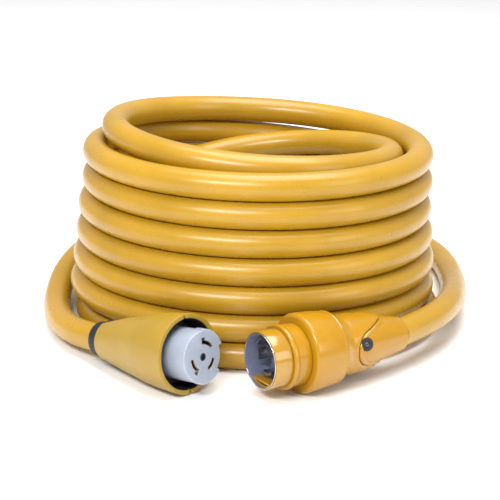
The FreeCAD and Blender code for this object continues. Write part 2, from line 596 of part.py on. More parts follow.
def make_plug():
    back = (PLUG_HEADING[0], PLUG_HEADING[1], 0.0)
    origin = (PLUG_RIM[0], PLUG_RIM[1], PLUG_AXIS_Z)
    bundle = BUNDLE_R + WIRE_R + BUNDLE_FIT + 0.6
    chamber = CONTACT_R + BARREL_R + 1.9
    carrier_r = SHELL_R - SHELL_WALL - TOUCH
    outside = plug_outside()
    hollow = revolve([(0, FLANGE_Z - 1), (chamber, FLANGE_Z - 1), (chamber, 76), (bundle, 92),
                      (bundle, GRIP_END_Z + 1), (0, GRIP_END_Z + 1)])
    seat = cylinder(SHELL_R + TOUCH, FLANGE_Z - 1, SHELL_L + TOUCH)
    pocket = radial_cylinder(INDICATOR_R + TOUCH, BEZEL_BACK - 0.2, FLANGE_R + 4)
    moulded = outside.cut(hollow).cut(seat).cut(pocket)
    grip_zone = tongue()
    body = moulded.cut(grip_zone)
    grip = moulded.common(grip_zone)
    local = {
        "metal_shell": ring(SHELL_R, SHELL_R - SHELL_WALL, 0, SHELL_L),
        "shell_sleeve": ring(SLEEVE_R, SHELL_R + TOUCH, LIP, SLEEVE_L),
        "plug_collar": revolve([(SHELL_R + TOUCH, SLEEVE_L + TOUCH), (BEAD_R - 1.2, SLEEVE_L + TOUCH),
                                (BEAD_R, SLEEVE_L + 1.4), (BEAD_R, SLEEVE_L + BEAD_L - 1),
                                (NECK_R, SLEEVE_L + BEAD_L + 0.6), (NECK_R, FLANGE_Z - TOUCH),
                                (SHELL_R + TOUCH, FLANGE_Z - TOUCH)]),
        "plug_body": body,
        "rear_grip": grip,
        "indicator_bezel": radial_cylinder(INDICATOR_R, BEZEL_BACK, BEZEL_FACE).cut(
            radial_cylinder(LENS_R, LAMP_SEAT, BEZEL_FACE + 1)),
        "indicator_lens": radial_cylinder(LENS_R - TOUCH, LENS_SEAT, BEZEL_FACE - 0.9),
        "indicator_lamp": radial_cylinder(LAMP_R, LAMP_SEAT + TOUCH, LENS_SEAT - TOUCH),
        "plug_terminal_screws": Part.makeCompound([terminal_screw(n, PLUG_BARREL_Z, 1) for n in WIRES]),
    }
    carrier = cylinder(carrier_r, CARRIER_FACE_Z, CARRIER_BACK_Z)
    carrier = carrier.cut(ring(SHELL_R + 15, chamber - TOUCH, SHELL_L, CARRIER_BACK_Z + 1))
    for name in LAYOUT:
        mid = LAYOUT[name][0]
        blade = curved_contact(name, BLADE_T / 2, BLADE_TIP_Z, SHELL_L + 12, HOOK_L)
        foot = sector(CONTACT_R - 1.1, CONTACT_R + 1.1, min(mid, WIRES[name][1]) - 6,
                      max(mid, WIRES[name][1]) + 6, SHELL_L + 10, PLUG_BARREL_Z - BARREL_L + 0.5)
        local["blade_" + name] = blade.fuse([foot, barrel(name, PLUG_BARREL_Z, 1)]).removeSplitter()
        carrier = carrier.cut(curved_contact(name, BLADE_T / 2 + TOUCH, CARRIER_FACE_Z - 1,
                                             CARRIER_BACK_Z + 1, HOOK_L + TOUCH))
    ground_mid = WIRES["ground"][1]
    ground_in = GROUND_OUT - GROUND_T
    tab = sector(ground_in, GROUND_OUT, GROUND_ANGLE - 14, GROUND_ANGLE + 14, BLADE_TIP_Z + 2, SHELL_L - 2)
    link = sector(CONTACT_R + 1.0, GROUND_OUT, ground_mid - 6, ground_mid + 6, SHELL_L - 4, SHELL_L - 2)
    stem = sector(CONTACT_R + 1.0, CONTACT_R + 3.0, ground_mid - 6, ground_mid + 6, SHELL_L - 4, SHELL_L + 17)
    local["blade_ground"] = tab.fuse([link, stem, barrel("ground", PLUG_BARREL_Z, 1)]).removeSplitter()
    carrier = carrier.cut(sector(ground_in - TOUCH, GROUND_OUT + TOUCH, GROUND_ANGLE - 14.1,
                                 GROUND_ANGLE + 14.1, CARRIER_FACE_Z - 1, SHELL_L - 2 + TOUCH))
    carrier = carrier.cut(sector(CONTACT_R + 1.0 - TOUCH, GROUND_OUT + TOUCH, ground_mid - 6.1,
                                 ground_mid + 6.1, SHELL_L - 4 - TOUCH, CARRIER_BACK_Z + 1))
    screws = []
    for angle in (120, 280):
        at = polar(RIVET_R, angle)
        head = cylinder(2.6, CARRIER_FACE_Z - 1.4, CARRIER_FACE_Z - TOUCH, at.x, at.y)
        shank = cylinder(1.4, CARRIER_FACE_Z - 1, SHELL_L - 3, at.x, at.y)
        slot = Part.makeBox(6, 0.8, 0.7, Vector(at.x - 3, at.y - 0.4, CARRIER_FACE_Z - 1.5))
        screws.append(head.fuse(shank).cut(slot).removeSplitter())
        carrier = carrier.cut(cylinder(1.4 + TOUCH, CARRIER_FACE_Z - 1, SHELL_L - 2, at.x, at.y))
    local["carrier_screws"] = Part.makeCompound(screws)
    local["blade_carrier"] = carrier
    for name in WIRES:
        local["plug_wire_" + name] = wire(name, GRIP_END_Z - 1.0, 90, PLUG_BARREL_Z, 1)

    rolled = [n for n in local if n.startswith(("blade", "plug_wire", "plug_terminal", "carrier"))]
    for name in rolled:
        local[name] = turned_z(local[name], PLUG_ROLL)
    below = Part.makeBox(80, 60, 60, Vector(-40, -KEY_TOP, -10))
    key_r = carrier_r - TOUCH
    key = cylinder(key_r, 3.0, CARRIER_FACE_Z - TOUCH).cut(below)
    below.translate(Vector(0, -1.6, 0))
    key = key.cut(cylinder(key_r - KEY_WALL, 1.0, CARRIER_FACE_Z - 3).cut(below))
    local["polarity_key"] = key
    for name, shape in local.items():
        nodes[name] = placed(shape, origin, back)
    butt("cord_tail_plug", origin, back, GRIP_END_Z + TOUCH, 1)


# ---- the whole object ---------------------------------------------------------------------------------
make_cord()
make_connector()
make_plug()

box = FreeCAD.BoundBox()
for solid in nodes.values():
    box.add(solid.optimalBoundingBox(False, False))
shift = Vector(-(box.XMin + box.XMax) / 2, -(box.YMin + box.YMax) / 2, -box.ZMin)
print("size:", round(box.XLength, 2), round(box.YLength, 2), round(box.ZLength, 2))
print("shift:", [round(c, 3) for c in shift])

os.makedirs("parts", exist_ok=True)
for node, shape in nodes.items():
    shape.translate(shift)
    shape.exportStep("parts/" + node + ".step")
    state = "" if shape.isValid() else " NOT VALID"
    print(node, len(shape.Solids), round(shape.Volume / 1000, 2), "cm3" + state)
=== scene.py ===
"""Looks of a coiled 50 A shore power cord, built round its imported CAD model.

The cord is one NURBS curve. The connector's two jaws ride on their own bodies and everything else rides
on the root. Pieces of the connector and the plug are drawn in millimetres in the local frame of their end
(local Z out of the connector's mouth, and from the plug's mouth back to the cord) and then placed.
"""

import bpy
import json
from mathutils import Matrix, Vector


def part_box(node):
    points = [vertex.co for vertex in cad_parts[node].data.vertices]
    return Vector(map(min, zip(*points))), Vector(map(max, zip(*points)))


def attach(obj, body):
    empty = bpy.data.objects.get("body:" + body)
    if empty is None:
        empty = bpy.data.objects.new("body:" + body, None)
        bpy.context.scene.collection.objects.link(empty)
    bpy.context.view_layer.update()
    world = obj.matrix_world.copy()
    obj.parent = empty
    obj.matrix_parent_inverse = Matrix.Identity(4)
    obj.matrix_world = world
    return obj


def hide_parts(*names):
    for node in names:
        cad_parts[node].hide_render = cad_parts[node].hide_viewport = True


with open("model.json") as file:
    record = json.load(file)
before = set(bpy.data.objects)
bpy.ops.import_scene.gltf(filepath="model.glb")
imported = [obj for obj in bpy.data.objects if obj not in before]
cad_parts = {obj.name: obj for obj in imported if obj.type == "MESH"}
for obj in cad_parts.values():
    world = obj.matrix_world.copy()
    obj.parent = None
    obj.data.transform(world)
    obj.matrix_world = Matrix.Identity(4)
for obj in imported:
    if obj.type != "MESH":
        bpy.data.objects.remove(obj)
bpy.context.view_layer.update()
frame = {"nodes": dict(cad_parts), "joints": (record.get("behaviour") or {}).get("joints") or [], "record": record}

import json
from math import asin, cos, hypot, pi, radians, sin, sqrt, tan

import bmesh
import bpy
from bpy.props import FloatProperty, FloatVectorProperty, IntProperty, PointerProperty
from bpy.types import Operator, Panel, PropertyGroup
from mathutils import Matrix, Vector

bl_info = {
    "name": "Shore power cord",
    "version": (1, 0, 0),
    "blender": (4, 5, 0),
    "location": "View3D > Sidebar > Shore cord",
    "description": "Builds the visible pieces of a coiled shore power cord round its CAD frame",
    "category": "Add Mesh",
}

MM = 0.001
COIL_LOW, COIL_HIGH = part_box("cord_coil")
COIL_AXIS = Vector(((COIL_LOW.x + COIL_HIGH.x) / 2, (COIL_LOW.y + COIL_HIGH.y) / 2, 0.0))

# ---- route of the cord, in metres from the coil's axis on the floor ------------------------------
PLUG_TAIL = [
    (0.131, -0.1655, 0.036), (0.164, -0.126, 0.036), (0.190, -0.063, 0.033), (0.202, 0.008, 0.024),
    (0.208, 0.080, 0.0155), (0.207, 0.150, 0.0135), (0.190, 0.218, 0.013), (0.148, 0.274, 0.013),
    (0.086, 0.307, 0.013), (0.016, 0.309, 0.013), (-0.049, 0.284, 0.013), (-0.104, 0.240, 0.013),
    (-0.145, 0.184, 0.013), (-0.166, 0.119, 0.013)]
COIL_EXIT = [(0.093, 0.110, 0.0155), (0.064, 0.137, 0.0135)]
CONNECTOR_TAIL = [
    (0.018, 0.163, 0.016), (-0.038, 0.176, 0.024), (-0.094, 0.169, 0.034), (-0.142, 0.141, 0.0415),
    (-0.175, 0.099, 0.039), (-0.192, 0.052, 0.030), (-0.197, 0.008, 0.0205), (-0.195, -0.036, 0.0155),
    (-0.1875, -0.076, 0.0155), (-0.175, -0.111, 0.0175), (-0.156, -0.140, 0.0205), (-0.1392, -0.157, 0.0229)]

STEPS = 24                      # control points in one turn of the coil
LEVELS = 7                      # turns that lie one on another in the coil's wall
LEVEL_H = 0.026
BASE_R = 0.1686                 # centreline radius of the lowest turn
LEAN = 0.010                    # how much smaller the highest turn of the wall is
START = 172.0                   # where the lowest turn begins, in degrees from +X
CLIMB = (35.0, 185.0)           # the stretch at the back where each turn climbs to the next level
TURN_OFFSETS = (0.0027, -0.0026, -0.0013, -0.0007, -0.0009, 0.0013, 0.0014)
GAP_MIDDLE = 97.0               # where the connector's tail slips out under the wall
GAP_HALF = 74.0
GAP_LIFT = (0.028, 0.0275, 0.0115, 0.008, -0.0015, -0.0015, 0.0)
GAP_WEAVE = (-0.0025, 0.0215, -0.016, 0.015, -0.003, 0.0015, 0.0)
# degrees past the wall, radius, height: the last turns rise over the wall and go down inside it
CREST = (
    (0, 0.1586, 0.169), (90, 0.155, 0.177), (180, 0.139, 0.191), (270, 0.131, 0.180), (360, 0.131, 0.166),
    (450, 0.131, 0.143), (540, 0.131, 0.106), (630, 0.131, 0.070), (705, 0.132, 0.040), (765, 0.139, 0.017))

# ---- sizes of the two ends, in millimetres, as in the CAD model ----------------------------------
JAW_L = 103.0
JAW_R = 36.0
JAW_WALL = 4.3
JAW_BACK_WALL = 2.6
PIVOT_Z = 36.0
JAW_TRAVEL = 3.5
GAP_END_Z = 50.0                # where the gap between the backs of the jaws begins
GAP_BACK = 6.0                  # half width of that gap at its wide end
NOTCH = 2.4                     # small notch that the seam has at the rim
SEAM = 0.3
KNUCKLE_R = 4.5
KNUCKLE_T = 1.8
KNUCKLE_TOP = 19.0
PIVOT_HALF = 11.8
MOVING_GAP = 0.5
COLLAR_R = 16.0
COLLAR_L = 10.5
REAR_GAP = 1.82                 # from the collar to the back of the jaws
INSERT_PROUD = 19.0
CONTACT_R = 12.8
CONTACT_SLOTS = ((210.0, 30.0), (60.0, 29.5), (318.0, 23.0))
LEAF_AT = 1.45                  # from the middle of a slot to the middle of each of its leaves
LEAF_T = 0.8
CONN_HEADING = (0.727, -0.687)
CONN_TILT = 6.9
JAW_FORM = [(0.0, 0.53, 0.51), (0.07, 0.565, 0.555), (0.17, 0.62, 0.62), (0.326, 0.705, 0.725),
            (0.477, 0.80, 0.80), (0.62, 0.885, 0.885), (0.808, 0.955, 0.955), (1.0, 1.0, 1.0)]

PLUG_RIM = (0.005, -0.247, 0.036)
PLUG_HEADING = (0.84, 0.545)
SHELL_R = 25.0
SHELL_WALL = 1.1
SHELL_L = 42.0
SLEEVE_R = 26.0
SLEEVE_L = 18.5
LIP = 0.8
BEAD_R = 29.2
BEAD_L = 4.0
NECK_R = 28.0
FLANGE_Z = 37.5
FLANGE_R = 36.0
RIDGE_Z = 72.5
RIDGE_R = 33.2
WAIST_R = 26.5
GRIP_END_Z = 152.0
GRIP_END_R = 15.4
NOSE_Z = 88.0
WALL = 3.0                      # moulded wall behind the plug's visible skin
CORD_HOLE_R = 13.2
PARTING = 60.0                  # angle of the mould's parting line on the plug's body
CARRIER_FACE_Z = 22.0
INDICATOR_Z = 97.0
INDICATOR_R = 5.9
INDICATOR_LIFT = 14.0
LENS_R = 2.7
RIVETS = (171.0, 331.0)
RIVET_RING_R = 19.2


# ---- shapes --------------------------------------------------------------------------------------
def smooth(t):
    t = min(1.0, max(0.0, t))
    return t * t * (3 - 2 * t)


def hermite(t, span, v0, v1, m0, m1):
    return ((1 + 2 * t) * (1 - t) ** 2 * v0 + t * t * (3 - 2 * t) * v1
            + span * t * (1 - t) * ((1 - t) * m0 - t * m1))


def blend(points, z):
    """Value at z of a smooth curve through (z, value) points that never overshoots them."""
    slopes = [(b[1] - a[1]) / (b[0] - a[0]) for a, b in zip(points, points[1:])]
    tangents = [slopes[0]]
    for left, right in zip(slopes, slopes[1:]):
        tangents.append(0.0 if left * right <= 0 else 2 * left * right / (left + right))
    tangents.append(slopes[-1])
    i = max(n for n in range(len(slopes)) if points[n][0] <= z or n == 0)
    (z0, v0), (z1, v1) = points[i], points[i + 1]
    return hermite((z - z0) / (z1 - z0), z1 - z0, v0, v1, tangents[i], tangents[i + 1])


def local_frame(origin, forward):
    """Matrix from an end's local millimetres to the row frame: local Z along forward, local Y upright."""
    z_axis = Vector(forward).normalized()
    x_axis = Vector((0, 0, 1)).cross(z_axis).normalized()
    y_axis = z_axis.cross(x_axis)
    turn = Matrix((x_axis, y_axis, z_axis)).transposed().to_4x4()
    return Matrix.Translation(Vector(origin)) @ turn @ Matrix.Scale(MM, 4)


def connector_frame():
    """Local frame whose origin is the back of the jaws, found from the hinge in the record."""
    tilt = radians(CONN_TILT)
    across = cos(tilt) / hypot(*CONN_HEADING)
    forward = Vector((CONN_HEADING[0] * across, CONN_HEADING[1] * across, sin(tilt)))
    pivot = Vector(frame["joints"][0]["pos_m"])
    return local_frame(pivot - PIVOT_Z * MM * forward, forward)


def plug_frame():
    return local_frame(COIL_AXIS + Vector(PLUG_RIM), (*PLUG_HEADING, 0.0))


def polar(r, angle, z=0.0):
    return Vector((r * cos(radians(angle)), r * sin(radians(angle)), z))


def new_piece(name, mesh, material):
    mesh.materials.clear()
    mesh.materials.append(material)
    piece = bpy.data.objects.new(name, mesh)
    bpy.context.scene.collection.objects.link(piece)
    return piece


def shade(mesh, sharp=40.0):
    mesh.shade_smooth()
    mesh.set_sharp_from_angle(angle=radians(sharp))


def solid_piece(name, vertices, faces, matrix, material, sharp=40.0):
    """One closed mesh, placed, with its faces outward."""
    mesh = bpy.data.meshes.new(name)
    mesh.from_pydata(vertices, [], faces)
    bm = bmesh.new()
    bm.from_mesh(mesh)
    bmesh.ops.remove_doubles(bm, verts=bm.verts, dist=1e-5)
    bmesh.ops.recalc_face_normals(bm, faces=bm.faces)
    bm.to_mesh(mesh)
    bm.free()
    mesh.transform(matrix)
    shade(mesh, sharp)
    return new_piece(name, mesh, material)


def with_modifiers(piece):
    """The piece's evaluated mesh takes the place of its own, and its modifiers go."""
    bpy.context.view_layer.update()
    done = bpy.data.meshes.new_from_object(piece.evaluated_get(bpy.context.evaluated_depsgraph_get()))
    piece.modifiers.clear()
    piece.data = done
    return piece


def line_inside(piece, matrix, material, is_inner):
    """Give a second finish to the faces whose middle, in local millimetres, is_inner says lies inside."""
    piece.data.materials.append(material)
    back = matrix.inverted()
    for face in piece.data.polygons:
        if is_inner(back @ face.center):
            face.material_index = 1


def settle(piece, body, slot, *nodes):
    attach(piece, body)
    if nodes:
        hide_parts(*nodes)
    return piece


def refined(node, name, material, sharp=35.0):
    """A merged copy of a CAD node, shaded smooth except along its real edges."""
    mesh = frame["nodes"][node].data.copy()
    bm = bmesh.new()
    bm.from_mesh(mesh)
    bmesh.ops.remove_doubles(bm, verts=bm.verts, dist=2e-6)
    bm.to_mesh(mesh)
    bm.free()
    for layer in [a.name for a in mesh.attributes if a.name == "custom_normal"]:
        mesh.attributes.remove(mesh.attributes[layer])
    shade(mesh, sharp)
    return new_piece(name, mesh, material)


def rounded(outline, radius, steps=4):
    """A closed outline of (r, z) points with every corner rounded by up to the given radius."""
    out = []
    count = len(outline)
    for i, corner in enumerate(outline):
        here = Vector(corner)
        before = Vector(outline[i - 1]) - here
        after = Vector(outline[(i + 1) % count]) - here
        cut = min(radius, before.length * 0.45, after.length * 0.45)
        a = here + before.normalized() * cut
        b = here + after.normalized() * cut
        for n in range(steps + 1):
            t = n / steps
            point = a * (1 - t) ** 2 + here * 2 * t * (1 - t) + b * t * t
            out.append((point.x, point.y))
    return out


def swept(name, loops, matrix, material, sharp=40.0):
    """A closed skin through closed (r, z) loops, one for each of the evenly spaced angles round local Z."""
    count = len(loops)
    size = len(loops[0])
    vertices = []
    for i, loop in enumerate(loops):
        angle = 2 * pi * i / count
        vertices += [(r * cos(angle), r * sin(angle), z) for r, z in loop]
    faces = []
    for i in range(count):
        here, there = i * size, (i + 1) % count * size
        for j in range(size):
            k = (j + 1) % size
            faces.append((here + j, here + k, there + k, there + j))
    return solid_piece(name, vertices, faces, matrix, material, sharp)


def lathe(name, outline, matrix, material, segments=144):
    return swept(name, [outline] * segments, matrix, material)


# ---- the cord's route ----------------------------------------------------------------------------
def wall_point(turned):
    """Radius, height and sideways offset in the coil's wall, at degrees past the START of its lowest turn."""
    angle = START + turned
    level = sum(smooth((angle - 360 * (n + 1) - CLIMB[0]) / (CLIMB[1] - CLIMB[0])) for n in range(LEVELS - 1))
    radius = BASE_R - LEAN * smooth(level / (LEVELS - 1))
    height = LEVEL_H * (level + 0.5)
    low = int(level)
    high = min(low + 1, LEVELS - 1)
    offset = TURN_OFFSETS[low] + (TURN_OFFSETS[high] - TURN_OFFSETS[low]) * (level - low)
    turn = int((angle - 240) // 360)
    past = angle - 360 * (turn + 1) - GAP_MIDDLE
    if 0 <= turn < len(GAP_LIFT) and abs(past) < GAP_HALF:
        share = cos(pi / 2 * past / GAP_HALF)
        radius += GAP_WEAVE[turn] * share
        height += GAP_LIFT[turn] * share ** 2
    return radius, height, offset


def crest_point(turned):
    """Radius and height at degrees past the top of the wall."""
    i = max(n for n in range(len(CREST) - 1) if CREST[n][0] <= turned)
    span = CREST[i + 1][0] - CREST[i][0]
    values = []
    for column, first_share in ((1, 0.0), (2, 0.5)):
        def slope(n):
            a, b = max(n - 1, 0), min(n + 1, len(CREST) - 1)
            share = first_share if n == 0 else 1.0
            return share * (CREST[b][column] - CREST[a][column]) / (CREST[b][0] - CREST[a][0])
        values.append(hermite((turned - CREST[i][0]) / span, span, CREST[i][column], CREST[i + 1][column],
                              slope(i), slope(i + 1)))
    return values


def coil_points():
    """Control points of the turns. A quadratic spline cuts inside its corners, so they stand a little out."""
    swell = 1 / (0.75 + 0.25 * cos(2 * pi / STEPS))
    wall_end = 360 * (LEVELS - 1) + 180 + (180 - START)
    points = []
    turned = 0.0
    while turned <= wall_end + CREST[-1][0]:
        if turned <= wall_end:
            radius, height, offset = wall_point(turned)
        else:
            radius, height = crest_point(turned - wall_end)
            offset = TURN_OFFSETS[-1] * max(0.0, 1 - (turned - wall_end) / 180)
        flat = polar(radius * swell, START + turned)
        points.append((flat.x + offset, flat.y, height))
        turned += 360 / STEPS
    return points


# ---- materials -----------------------------------------------------------------------------------
def linear(code):
    """Linear RGBA of an sRGB hex colour."""
    parts = [int(code[i:i + 2], 16) / 255 for i in (1, 3, 5)]
    return tuple(c / 12.92 if c <= 0.04045 else ((c + 0.055) / 1.055) ** 2.4 for c in parts) + (1.0,)


def add(tree, kind, inputs=None, **settings):
    """Add a node. inputs gives each socket, by name or number, a value or another node's output."""
    made = tree.nodes.new(kind)
    for key, value in settings.items():
        setattr(made, key, value)
    for key, value in (inputs or {}).items():
        if isinstance(value, bpy.types.NodeSocket):
            tree.links.new(value, made.inputs[key])
        else:
            made.inputs[key].default_value = value
    return made


def noise(tree, where, size_mm, detail=3.0, **inputs):
    """Value noise whose features are about size_mm across, on coordinates in metres."""
    values = {"Vector": where, "Scale": 1 / (size_mm * MM), "Detail": detail, "Roughness": 0.55, **inputs}
    return add(tree, "ShaderNodeTexNoise", values).outputs["Fac"]


def spread(tree, value, low, high, start=0.3, stop=0.7):
    """Map noise from start..stop to low..high."""
    return add(tree, "ShaderNodeMapRange", {"Value": value, "From Min": start, "From Max": stop,
                                            "To Min": low, "To Max": high}).outputs["Result"]


def moulded(name, base, shade_of, patch_mm, grain_mm, grain_depth_mm, rough, scuff=0.0, along=None, **shader):
    """A plastic or rubber: two close colours in soft patches, a fine surface grain and uneven gloss.

    scuff is how far fine rub marks change the colour and the gloss. along stretches the grain by (x, y, z)
    on the piece's own UV map in metres, for what was drawn through a die."""
    material = bpy.data.materials.new(name)
    material.use_nodes = True
    tree = material.node_tree
    tree.nodes.clear()
    place = add(tree, "ShaderNodeTexCoord").outputs["Object"]
    grain_place = place
    if along:
        uv = add(tree, "ShaderNodeUVMap").outputs["UV"]
        grain_place = add(tree, "ShaderNodeMapping", {"Vector": uv, "Scale": along}).outputs["Vector"]
    patches = noise(tree, place, patch_mm)
    colour = add(tree, "ShaderNodeMix", {"Factor": spread(tree, patches, 0.0, 1.0), "A": linear(base),
                                         "B": linear(shade_of)}, data_type="RGBA")
    colour = mixed_output(colour)
    gloss = spread(tree, noise(tree, place, patch_mm / 5), rough[0], rough[1])
    if scuff:
        rubs = add(tree, "ShaderNodeMapping", {"Vector": place, "Scale": (1.0, 1.0, 7.0)}).outputs["Vector"]
        marks = spread(tree, noise(tree, rubs, 9.0, 8.0), 0.0, scuff, 0.6, 0.75)
        pale = tuple(min(1.0, c * 1.25 + 0.03) for c in linear(base)[:3]) + (1.0,)
        colour = add(tree, "ShaderNodeMix", {"Factor": marks, "A": colour, "B": pale}, data_type="RGBA")
        colour = mixed_output(colour)
        gloss = add(tree, "ShaderNodeMath", {0: gloss, 1: marks}, operation="ADD", use_clamp=True).outputs[0]
    grain = noise(tree, grain_place, grain_mm, 4.0)
    bump = add(tree, "ShaderNodeBump", {"Height": grain, "Strength": 1.0, "Distance": grain_depth_mm * MM})
    surface = add(tree, "ShaderNodeBsdfPrincipled", {"Base Color": colour, "Roughness": gloss,
                                                    "Normal": bump.outputs["Normal"], **shader})
    add(tree, "ShaderNodeOutputMaterial", {"Surface": surface.outputs[0]})
    return material


def mixed_output(mix):
    """The colour output of a colour Mix node, which has one output for each kind of data."""
    return next(o for o in mix.outputs if o.type == "RGBA" and o.enabled)


def metal(name, base, shade_of, patch_mm, rough, scratch_mm, scratch_depth_mm, stretch=(1.0, 1.0, 12.0)):
    """A metal: tarnish in patches, and fine lines or scratches that are long one way."""
    material = bpy.data.materials.new(name)
    material.use_nodes = True
    tree = material.node_tree
    tree.nodes.clear()
    place = add(tree, "ShaderNodeTexCoord").outputs["Object"]
    colour = add(tree, "ShaderNodeMix", {"Factor": spread(tree, noise(tree, place, patch_mm), 0.0, 1.0),
                                         "A": linear(base), "B": linear(shade_of)}, data_type="RGBA")
    lines = add(tree, "ShaderNodeMapping", {"Vector": place, "Scale": stretch}).outputs["Vector"]
    scratch = noise(tree, lines, scratch_mm, 5.0)
    bump = add(tree, "ShaderNodeBump",
               {"Height": scratch, "Strength": 1.0, "Distance": scratch_depth_mm * MM})
    surface = add(tree, "ShaderNodeBsdfPrincipled", {
        "Base Color": mixed_output(colour), "Metallic": 1.0,
        "Roughness": spread(tree, scratch, rough[0], rough[1]),
        "Normal": bump.outputs["Normal"]})
    add(tree, "ShaderNodeOutputMaterial", {"Surface": surface.outputs[0]})
    return material


def hex_of(prop):
    """sRGB hex code of a colour property, which Blender keeps linear."""
    codes = []
    for c in prop[:3]:
        s = c * 12.92 if c <= 0.0031308 else 1.055 * c ** (1 / 2.4) - 0.055
        codes.append(round(255 * min(1.0, max(0.0, s))))
    return "#%02x%02x%02x" % tuple(codes)


def make_materials(colours):
    """Every finish of the cord, by the name of its slot in the record."""
    jacket, jaw, plug = (hex_of(c) for c in (colours.jacket, colours.jaw, colours.plug))
    return {
        # thermoplastic elastomer drawn through a die: satin, with faint lines along the cord
        "cord_jacket": moulded("extruded_tpe_jacket", jacket, "#a07a17", 70.0, 1.6, 0.015, (0.26, 0.34), 0.02,
                               along=(10.1, 0.08 * 14, 1.0), **{"IOR": 1.48}),
        # glass-filled nylon jaws with a fine spark-eroded texture: muted, even, half matt
        "jaw_shell": moulded("textured_nylon_jaws", jaw, "#93741c", 45.0, 0.7, 0.025, (0.36, 0.46), 0.12,
                             **{"IOR": 1.53}),
        # soft PVC moulded over the plug: saturated and glossy, with a little light inside
        "plug_moulding": moulded("overmoulded_pvc", plug, "#a07208", 40.0, 2.4, 0.005, (0.17, 0.24), 0.02,
                                 **{"IOR": 1.53, "Subsurface Weight": 0.08,
                                    "Subsurface Radius": (1.0, 0.5, 0.1),
                                    "Subsurface Scale": 0.002}),
        # neoprene: blue-black, dull, with a pebbled skin
        "black_rubber": moulded("neoprene_rubber", "#0d0e19", "#141522", 12.0, 0.5, 0.03, (0.50, 0.66), 0.02,
                                **{"IOR": 1.52}),
        # natural nylon: milky, bluish, lets light in at its edges
        "white_insulator": moulded("natural_nylon", "#979eaa", "#8e96a3", 18.0, 1.2, 0.01, (0.28, 0.38), 0.03,
                                   **{"IOR": 1.53, "Subsurface Weight": 0.7,
                                      "Subsurface Radius": (1.0, 1.1, 1.3),
                                      "Subsurface Scale": 0.006}),
        # phenolic blade carrier: slate grey and faintly glossy
        "grey_insulator": moulded("phenolic_carrier", "#5a5f75", "#50546a", 14.0, 0.9, 0.03,
                                  (0.34, 0.46), 0.10,
                                  **{"IOR": 1.6}),
        # bright nickel plate on brass, with fine wiping marks
        "nickel": metal("nickel_plate", "#c9c6c2", "#aaa7a8", 9.0, (0.12, 0.24), 1.1, 0.004),
        # zinc-plated steel screws and springs
        "steel": metal("zinc_plated_steel", "#b9bbc0", "#94969e", 3.0, (0.22, 0.38), 0.8, 0.006),
        # rolled brass contacts, a little tarnished
        "brass_contact": metal("rolled_brass", "#c9a665", "#8d7448", 5.0, (0.24, 0.40), 0.9, 0.006),
        # smoked acrylic lens over the lamp
        "lens": moulded("smoked_acrylic", "#3a2c44", "#46323f", 2.0, 0.8, 0.004, (0.08, 0.14),
                        **{"IOR": 1.49, "Coat Weight": 0.4}),
        "lamp": moulded("neon_lamp_glass", "#8a3a2a", "#b05038", 1.5, 0.6, 0.004, (0.10, 0.16),
                        **{"IOR": 1.5}),
        # PVC insulation of the four conductors
        "wire_black": moulded("pvc_wire_black", "#17171a", "#202024", 8.0, 0.8, 0.01, (0.35, 0.45)),
        "wire_red": moulded("pvc_wire_red", "#a31e1b", "#8c1816", 8.0, 0.8, 0.01, (0.35, 0.45)),
        "wire_white": moulded("pvc_wire_white", "#dcdcd6", "#cbcbc4", 8.0, 0.8, 0.01, (0.35, 0.45)),
        "wire_green": moulded("pvc_wire_green", "#1f6b35", "#185a2b", 8.0, 0.8, 0.01, (0.35, 0.45)),
        # paint baked on the metal sleeve
        "sleeve": moulded("enamelled_sleeve", "#a87c18", "#9f7515", 20.0, 1.8, 0.006, (0.10, 0.17), 0.08,
                          **{"IOR": 1.52, "Coat Weight": 0.5, "Coat Roughness": 0.06}),
        # inside of the metal shell: painted reflection, a matt slate grey that stands in for the nickel's dark
        # reflection
        "shell_inside": moulded("painted_reflection_lining", "#6b7086", "#60657b", 7.0, 1.4, 0.01, (0.32, 0.45)),
    }


# ---- the connector -------------------------------------------------------------------------------
def jaw_half(z, inset=0.0):
    """Half width and half height of the closed jaws at z, less an inset."""
    t = z / JAW_L
    return [JAW_R * blend([(row[0], row[side]) for row in JAW_FORM], t) - inset for side in (1, 2)]


def jaw_wall(z):
    return JAW_BACK_WALL + (JAW_WALL - JAW_BACK_WALL) * z / JAW_L


def jaw_gap(z):
    """How far a closed jaw's edge is from the middle plane: a wedge lets the backs close in."""
    wedge = GAP_BACK * max(0.0, 1 - z / GAP_END_Z)
    return SEAM / 2 + max(wedge, NOTCH / 2 * smooth(z - JAW_L + NOTCH + 1))


def keel_loops():
    """Vertices and faces of the black keel that fills the gap between the backs of the jaws."""
    rows = 40
    vertices, faces = [], []
    for i in range(rows + 1):
        z = 0.5 + (GAP_END_Z - 2.5) * i / rows
        closing = max(0.0, PIVOT_Z - z) * tan(radians(JAW_TRAVEL))
        wide = max(0.25, jaw_gap(z) - closing - 0.4)
        high = jaw_half(z)[1] - 0.2
        for n in range(24):
            a = 2 * pi * n / 24
            vertices.append((wide * sin(a) * abs(sin(a)) ** -0.4 if sin(a) else 0.0, high * cos(a), z))
        if i:
            faces += [((i - 1) * 24 + n, (i - 1) * 24 + (n + 1) % 24, i * 24 + (n + 1) % 24, i * 24 + n)
                      for n in range(24)]
    faces += [tuple(range(24))[::-1], tuple(rows * 24 + n for n in range(24))]
    return vertices, faces


